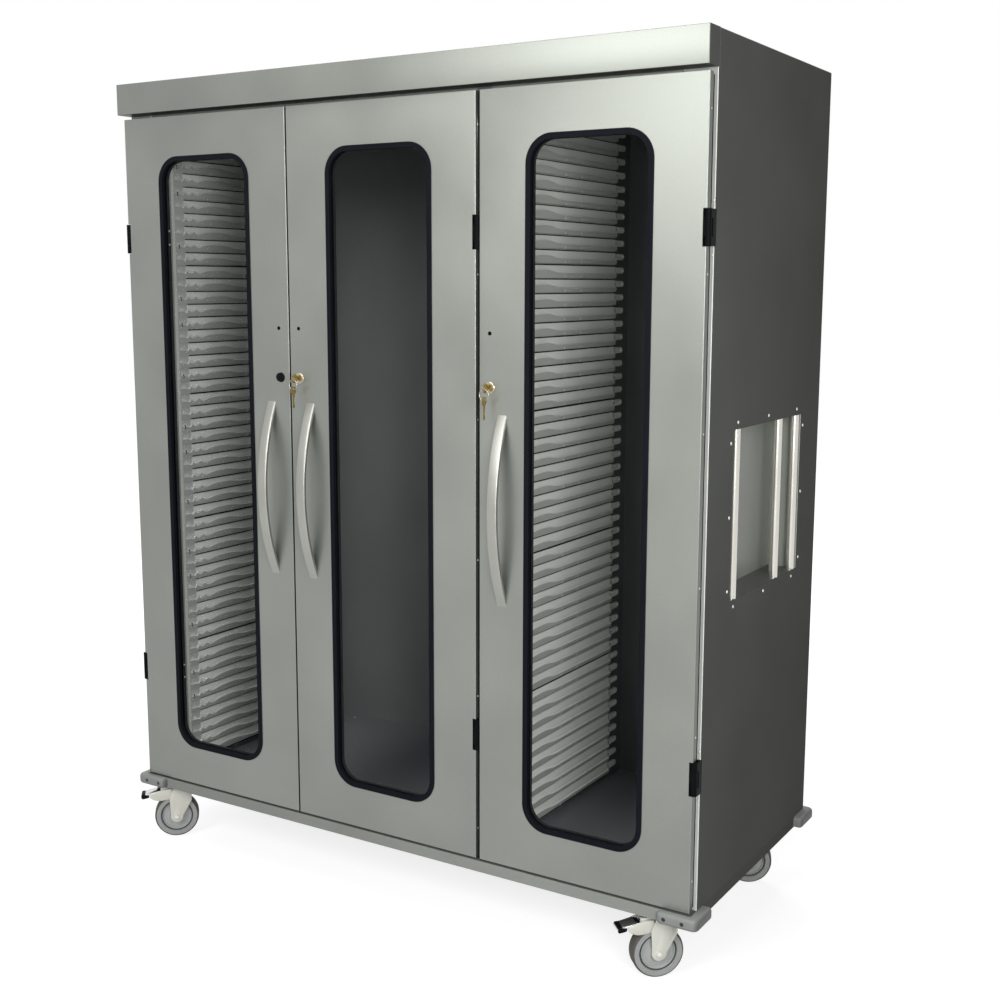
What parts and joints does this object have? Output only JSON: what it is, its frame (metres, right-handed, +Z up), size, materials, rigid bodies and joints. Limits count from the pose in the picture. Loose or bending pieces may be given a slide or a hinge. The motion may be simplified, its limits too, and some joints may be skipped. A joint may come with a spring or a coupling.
{
  "type": "storage cabinet",
  "caption": "Tall steel cabinet on swivel casters, with glazed hinged doors, bow handles, key locks, ribbed tray rails inside and recessed grab bars at the sides.",
  "frame": {"origin": "middle of the footprint's bounding box, on the floor under the casters", "axes": "+Z up, -Y out of the doors, +X towards the single door"},
  "size_m": [1.5184, 0.711, 1.8348],
  "materials": {
    "door_steel": "satin",
    "side_steel": "satin",
    "fascia_steel": "satin",
    "body_steel": "satin",
    "dark_steel": "satin",
    "interior_steel": "satin",
    "rail_plastic": "translucent grey",
    "grey_plastic": "matte",
    "bright_steel": "bright",
    "bright_bar": "bright",
    "black_metal": "satin black",
    "black_rubber": "matte",
    "black_plastic": "matte",
    "pane": "clear",
    "satin_alloy": "satin",
    "lock_brass": "bright",
    "key_brass": "worn",
    "caster_steel": "cream paint",
    "wheel_plastic": "matte",
    "tyre_rubber": "matte"
  },
  "bodies": {
    "cabinet": {"base_frame": "dark_steel", "corner_bumpers": "grey_plastic", "cabinet_screws": "bright_steel", "floor_panel": "interior_steel", "back_panel": "interior_steel", "top_panel": "body_steel", "left_side_panel": "side_steel", "right_side_panel": "side_steel", "inner_walls": "interior_steel", "divider": "interior_steel", "fascia": "fascia_steel", "door_seals": "black_rubber", "wall_tray_rails": "rail_plastic", "divider_tray_rails": "rail_plastic", "hand_pockets": "side_steel", "grab_bars": "bright_bar", "pocket_rivets": "bright_steel", "hinge_body_halves": "black_metal", "caster_plates": "caster_steel"},
    "left_door": {"left_door_skin": "door_steel", "left_door_liner": "interior_steel", "left_glass": "pane", "left_gasket": "black_rubber", "left_handle": "satin_alloy", "left_hinge_halves": "black_metal", "left_lock_cover": "black_plastic"},
    "middle_door": {"middle_door_skin": "door_steel", "middle_door_liner": "interior_steel", "middle_glass": "pane", "middle_gasket": "black_rubber", "middle_handle": "satin_alloy", "middle_hinge_halves": "black_metal", "middle_lock_case": "lock_brass"},
    "right_door": {"right_door_skin": "door_steel", "right_door_liner": "interior_steel", "right_glass": "pane", "right_gasket": "black_rubber", "right_handle": "satin_alloy", "right_hinge_halves": "black_metal", "right_lock_case": "lock_brass"},
    "middle_lock": {"middle_lock_plug": "lock_brass"},
    "middle_keys": {"middle_key_ring": "key_brass"},
    "right_lock": {"right_lock_plug": "lock_brass"},
    "right_keys": {"right_key_ring": "key_brass"},
    "front_left_caster": {"front_left_fork": "caster_steel"},
    "front_left_roller": {"front_left_wheel": "wheel_plastic", "front_left_tyre": "tyre_rubber"},
    "front_left_brake": {"front_left_pedal": "black_plastic"},
    "rear_left_caster": {"rear_left_fork": "caster_steel"},
    "rear_left_roller": {"rear_left_wheel": "wheel_plastic", "rear_left_tyre": "tyre_rubber"},
    "front_right_caster": {"front_right_fork": "caster_steel"},
    "front_right_roller": {"front_right_wheel": "wheel_plastic", "front_right_tyre": "tyre_rubber"},
    "front_right_brake": {"front_right_pedal": "black_plastic"},
    "rear_right_caster": {"rear_right_fork": "caster_steel"},
    "rear_right_roller": {"rear_right_wheel": "wheel_plastic", "rear_right_tyre": "tyre_rubber"}
  },
  "joints": [
    {"name": "left_door_hinge", "type": "hinge", "parent": "cabinet", "child": "left_door", "pos_m": [-0.7363, -0.3085, 0.962], "axis": [0, 0, 1], "range_deg": [-180, 0]},
    {"name": "middle_door_hinge", "type": "hinge", "parent": "cabinet", "child": "middle_door", "pos_m": [0.2414, -0.3085, 0.962], "axis": [0, 0, 1], "range_deg": [0, 110]},
    {"name": "right_door_hinge", "type": "hinge", "parent": "cabinet", "child": "right_door", "pos_m": [0.7363, -0.3085, 0.962], "axis": [0, 0, 1], "range_deg": [0, 180]},
    {"name": "middle_lock_turn", "type": "hinge", "parent": "middle_door", "child": "middle_lock", "pos_m": [-0.221, -0.3135, 1.175], "axis": [0, 1, 0], "range_deg": [-90, 0]},
    {"name": "middle_keys_swing", "type": "hinge", "parent": "middle_lock", "child": "middle_keys", "pos_m": [-0.221, -0.335, 1.1726], "axis": [0, 1, 0], "range_deg": [-30, 30]},
    {"name": "right_lock_turn", "type": "hinge", "parent": "right_door", "child": "right_lock", "pos_m": [0.2739, -0.3135, 1.175], "axis": [0, 1, 0], "range_deg": [-90, 0]},
    {"name": "right_keys_swing", "type": "hinge", "parent": "right_lock", "child": "right_keys", "pos_m": [0.2739, -0.335, 1.1726], "axis": [0, 1, 0], "range_deg": [-30, 30]},
    {"name": "front_left_swivel", "type": "hinge", "parent": "cabinet", "child": "front_left_caster", "pos_m": [-0.666, -0.2585, 0.107], "axis": [0, 0, 1], "continuous": true},
    {"name": "front_left_roll", "type": "hinge", "parent": "front_left_caster", "child": "front_left_roller", "pos_m": [-0.68355, -0.27487, 0.054], "axis": [0.682, -0.7314, 0], "continuous": true},
    {"name": "front_left_brake_press", "type": "hinge", "parent": "front_left_caster", "child": "front_left_brake", "pos_m": [-0.70769, -0.29737, 0.1162], "axis": [0.682, -0.7314, 0], "range_deg": [0, 14]},
    {"name": "rear_left_swivel", "type": "hinge", "parent": "cabinet", "child": "rear_left_caster", "pos_m": [-0.666, 0.2465, 0.107], "axis": [0, 0, 1], "continuous": true},
    {"name": "rear_left_roll", "type": "hinge", "parent": "rear_left_caster", "child": "rear_left_roller", "pos_m": [-0.68809, 0.23712, 0.054], "axis": [0.3907, -0.9205, 0], "continuous": true},
    {"name": "front_right_swivel", "type": "hinge", "parent": "cabinet", "child": "front_right_caster", "pos_m": [0.666, -0.2585, 0.107], "axis": [0, 0, 1], "continuous": true},
    {"name": "front_right_roll", "type": "hinge", "parent": "front_right_caster", "child": "front_right_roller", "pos_m": [0.64845, -0.27487, 0.054], "axis": [0.682, -0.7314, 0], "continuous": true},
    {"name": "front_right_brake_press", "type": "hinge", "parent": "front_right_caster", "child": "front_right_brake", "pos_m": [0.62431, -0.29737, 0.1162], "axis": [0.682, -0.7314, 0], "range_deg": [0, 14]},
    {"name": "rear_right_swivel", "type": "hinge", "parent": "cabinet", "child": "rear_right_caster", "pos_m": [0.666, 0.2465, 0.107], "axis": [0, 0, 1], "continuous": true},
    {"name": "rear_right_roll", "type": "hinge", "parent": "rear_right_caster", "child": "rear_right_roller", "pos_m": [0.64391, 0.23712, 0.054], "axis": [0.3907, -0.9205, 0], "continuous": true}
  ]
}
